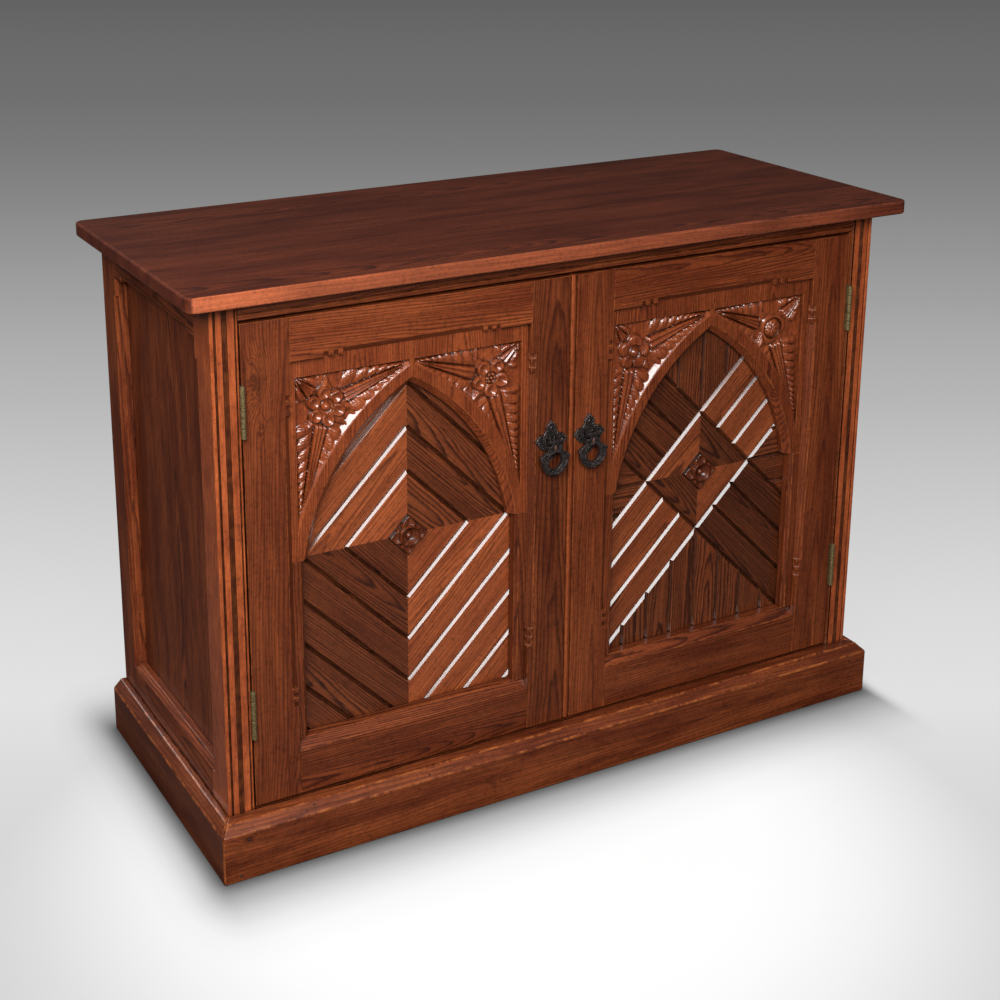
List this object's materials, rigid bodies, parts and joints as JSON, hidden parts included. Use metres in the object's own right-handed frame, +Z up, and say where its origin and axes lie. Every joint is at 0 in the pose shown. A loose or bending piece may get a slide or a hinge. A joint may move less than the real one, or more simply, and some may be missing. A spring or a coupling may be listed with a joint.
{
  "type": "storage cabinet",
  "caption": "Low varnished pine cabinet with paired boarded doors under pointed arches, reeded corner posts, overhanging top, plinth and an inner shelf.",
  "frame": {"origin": "middle of the footprint, on the floor", "axes": "+X to the right along the width, +Y from the doors to the back, +Z up"},
  "size_m": [1.26, 0.516, 0.9],
  "materials": {
    "carcass_wood": "red-brown stained pine under gloss varnish",
    "top_wood": "dark stained boards under gloss varnish",
    "door_wood": "strongly figured stained pine under gloss varnish",
    "board_wood": "varnished pine boards with vee joints",
    "inner_wood": "unfinished pine",
    "hinge_brass": "dull aged brass",
    "pull_iron": "near black iron, lightly worn"
  },
  "bodies": {
    "carcass": {"back_boards": "inner_wood", "back_top_rail": "inner_wood", "bottom_board": "inner_wood", "door_stop": "inner_wood", "front_bottom_rail": "inner_wood", "front_post_left": "carcass_wood", "front_post_right": "carcass_wood", "front_top_rail": "carcass_wood", "hinge_pins": "hinge_brass", "hinge_post_leaves": "hinge_brass", "left_side_bottom_rail": "carcass_wood", "left_side_panel": "carcass_wood", "left_side_top_rail": "carcass_wood", "plinth_back": "inner_wood", "plinth_front": "carcass_wood", "plinth_left": "carcass_wood", "plinth_right": "carcass_wood", "rear_post_left": "carcass_wood", "rear_post_right": "carcass_wood", "right_side_bottom_rail": "carcass_wood", "right_side_panel": "carcass_wood", "right_side_top_rail": "carcass_wood", "shelf": "inner_wood", "shelf_bearers": "inner_wood", "top_back_board": "top_wood", "top_front_board": "top_wood"},
    "door_left": {"left_door_arch_east": "door_wood", "left_door_arch_west": "door_wood", "left_door_back_beads": "inner_wood", "left_door_bottom_rail": "door_wood", "left_door_hinge_leaves": "hinge_brass", "left_door_hinge_stile": "door_wood", "left_door_jamb_east": "board_wood", "left_door_jamb_west": "board_wood", "left_door_lower_boards": "board_wood", "left_door_meeting_stile": "door_wood", "left_door_rosette": "board_wood", "left_door_top_rail": "door_wood", "left_door_upper_boards": "board_wood", "left_pull_pin": "pull_iron", "left_pull_plate": "pull_iron"},
    "pull_ring_left": {"left_pull_ring": "pull_iron"},
    "door_right": {"right_door_arch_east": "door_wood", "right_door_arch_west": "door_wood", "right_door_back_beads": "inner_wood", "right_door_bottom_rail": "door_wood", "right_door_hinge_leaves": "hinge_brass", "right_door_hinge_stile": "door_wood", "right_door_jamb_east": "board_wood", "right_door_jamb_west": "board_wood", "right_door_lozenge_boards": "board_wood", "right_door_meeting_bead": "door_wood", "right_door_meeting_stile": "door_wood", "right_door_rosette": "board_wood", "right_door_saltire_boards": "board_wood", "right_door_straight_boards": "board_wood", "right_door_top_rail": "door_wood", "right_pull_pin": "pull_iron", "right_pull_plate": "pull_iron"},
    "pull_ring_right": {"right_pull_ring": "pull_iron"}
  },
  "joints": [
    {"name": "left_door_hinge", "type": "hinge", "parent": "carcass", "child": "door_left", "pos_m": [-0.54475, -0.2265, 0.25], "axis": [0, 0, 1], "range_deg": [-170, 0]},
    {"name": "right_door_hinge", "type": "hinge", "parent": "carcass", "child": "door_right", "pos_m": [0.54475, -0.2265, 0.25], "axis": [0, 0, 1], "range_deg": [0, 170]},
    {"name": "left_ring_hinge", "type": "hinge", "parent": "door_left", "child": "pull_ring_left", "pos_m": [-0.038, -0.233, 0.5855], "axis": [1, 0, 0], "range_deg": [-80, 5]},
    {"name": "right_ring_hinge", "type": "hinge", "parent": "door_right", "child": "pull_ring_right", "pos_m": [0.032, -0.233, 0.5855], "axis": [1, 0, 0], "range_deg": [-80, 5]}
  ]
}
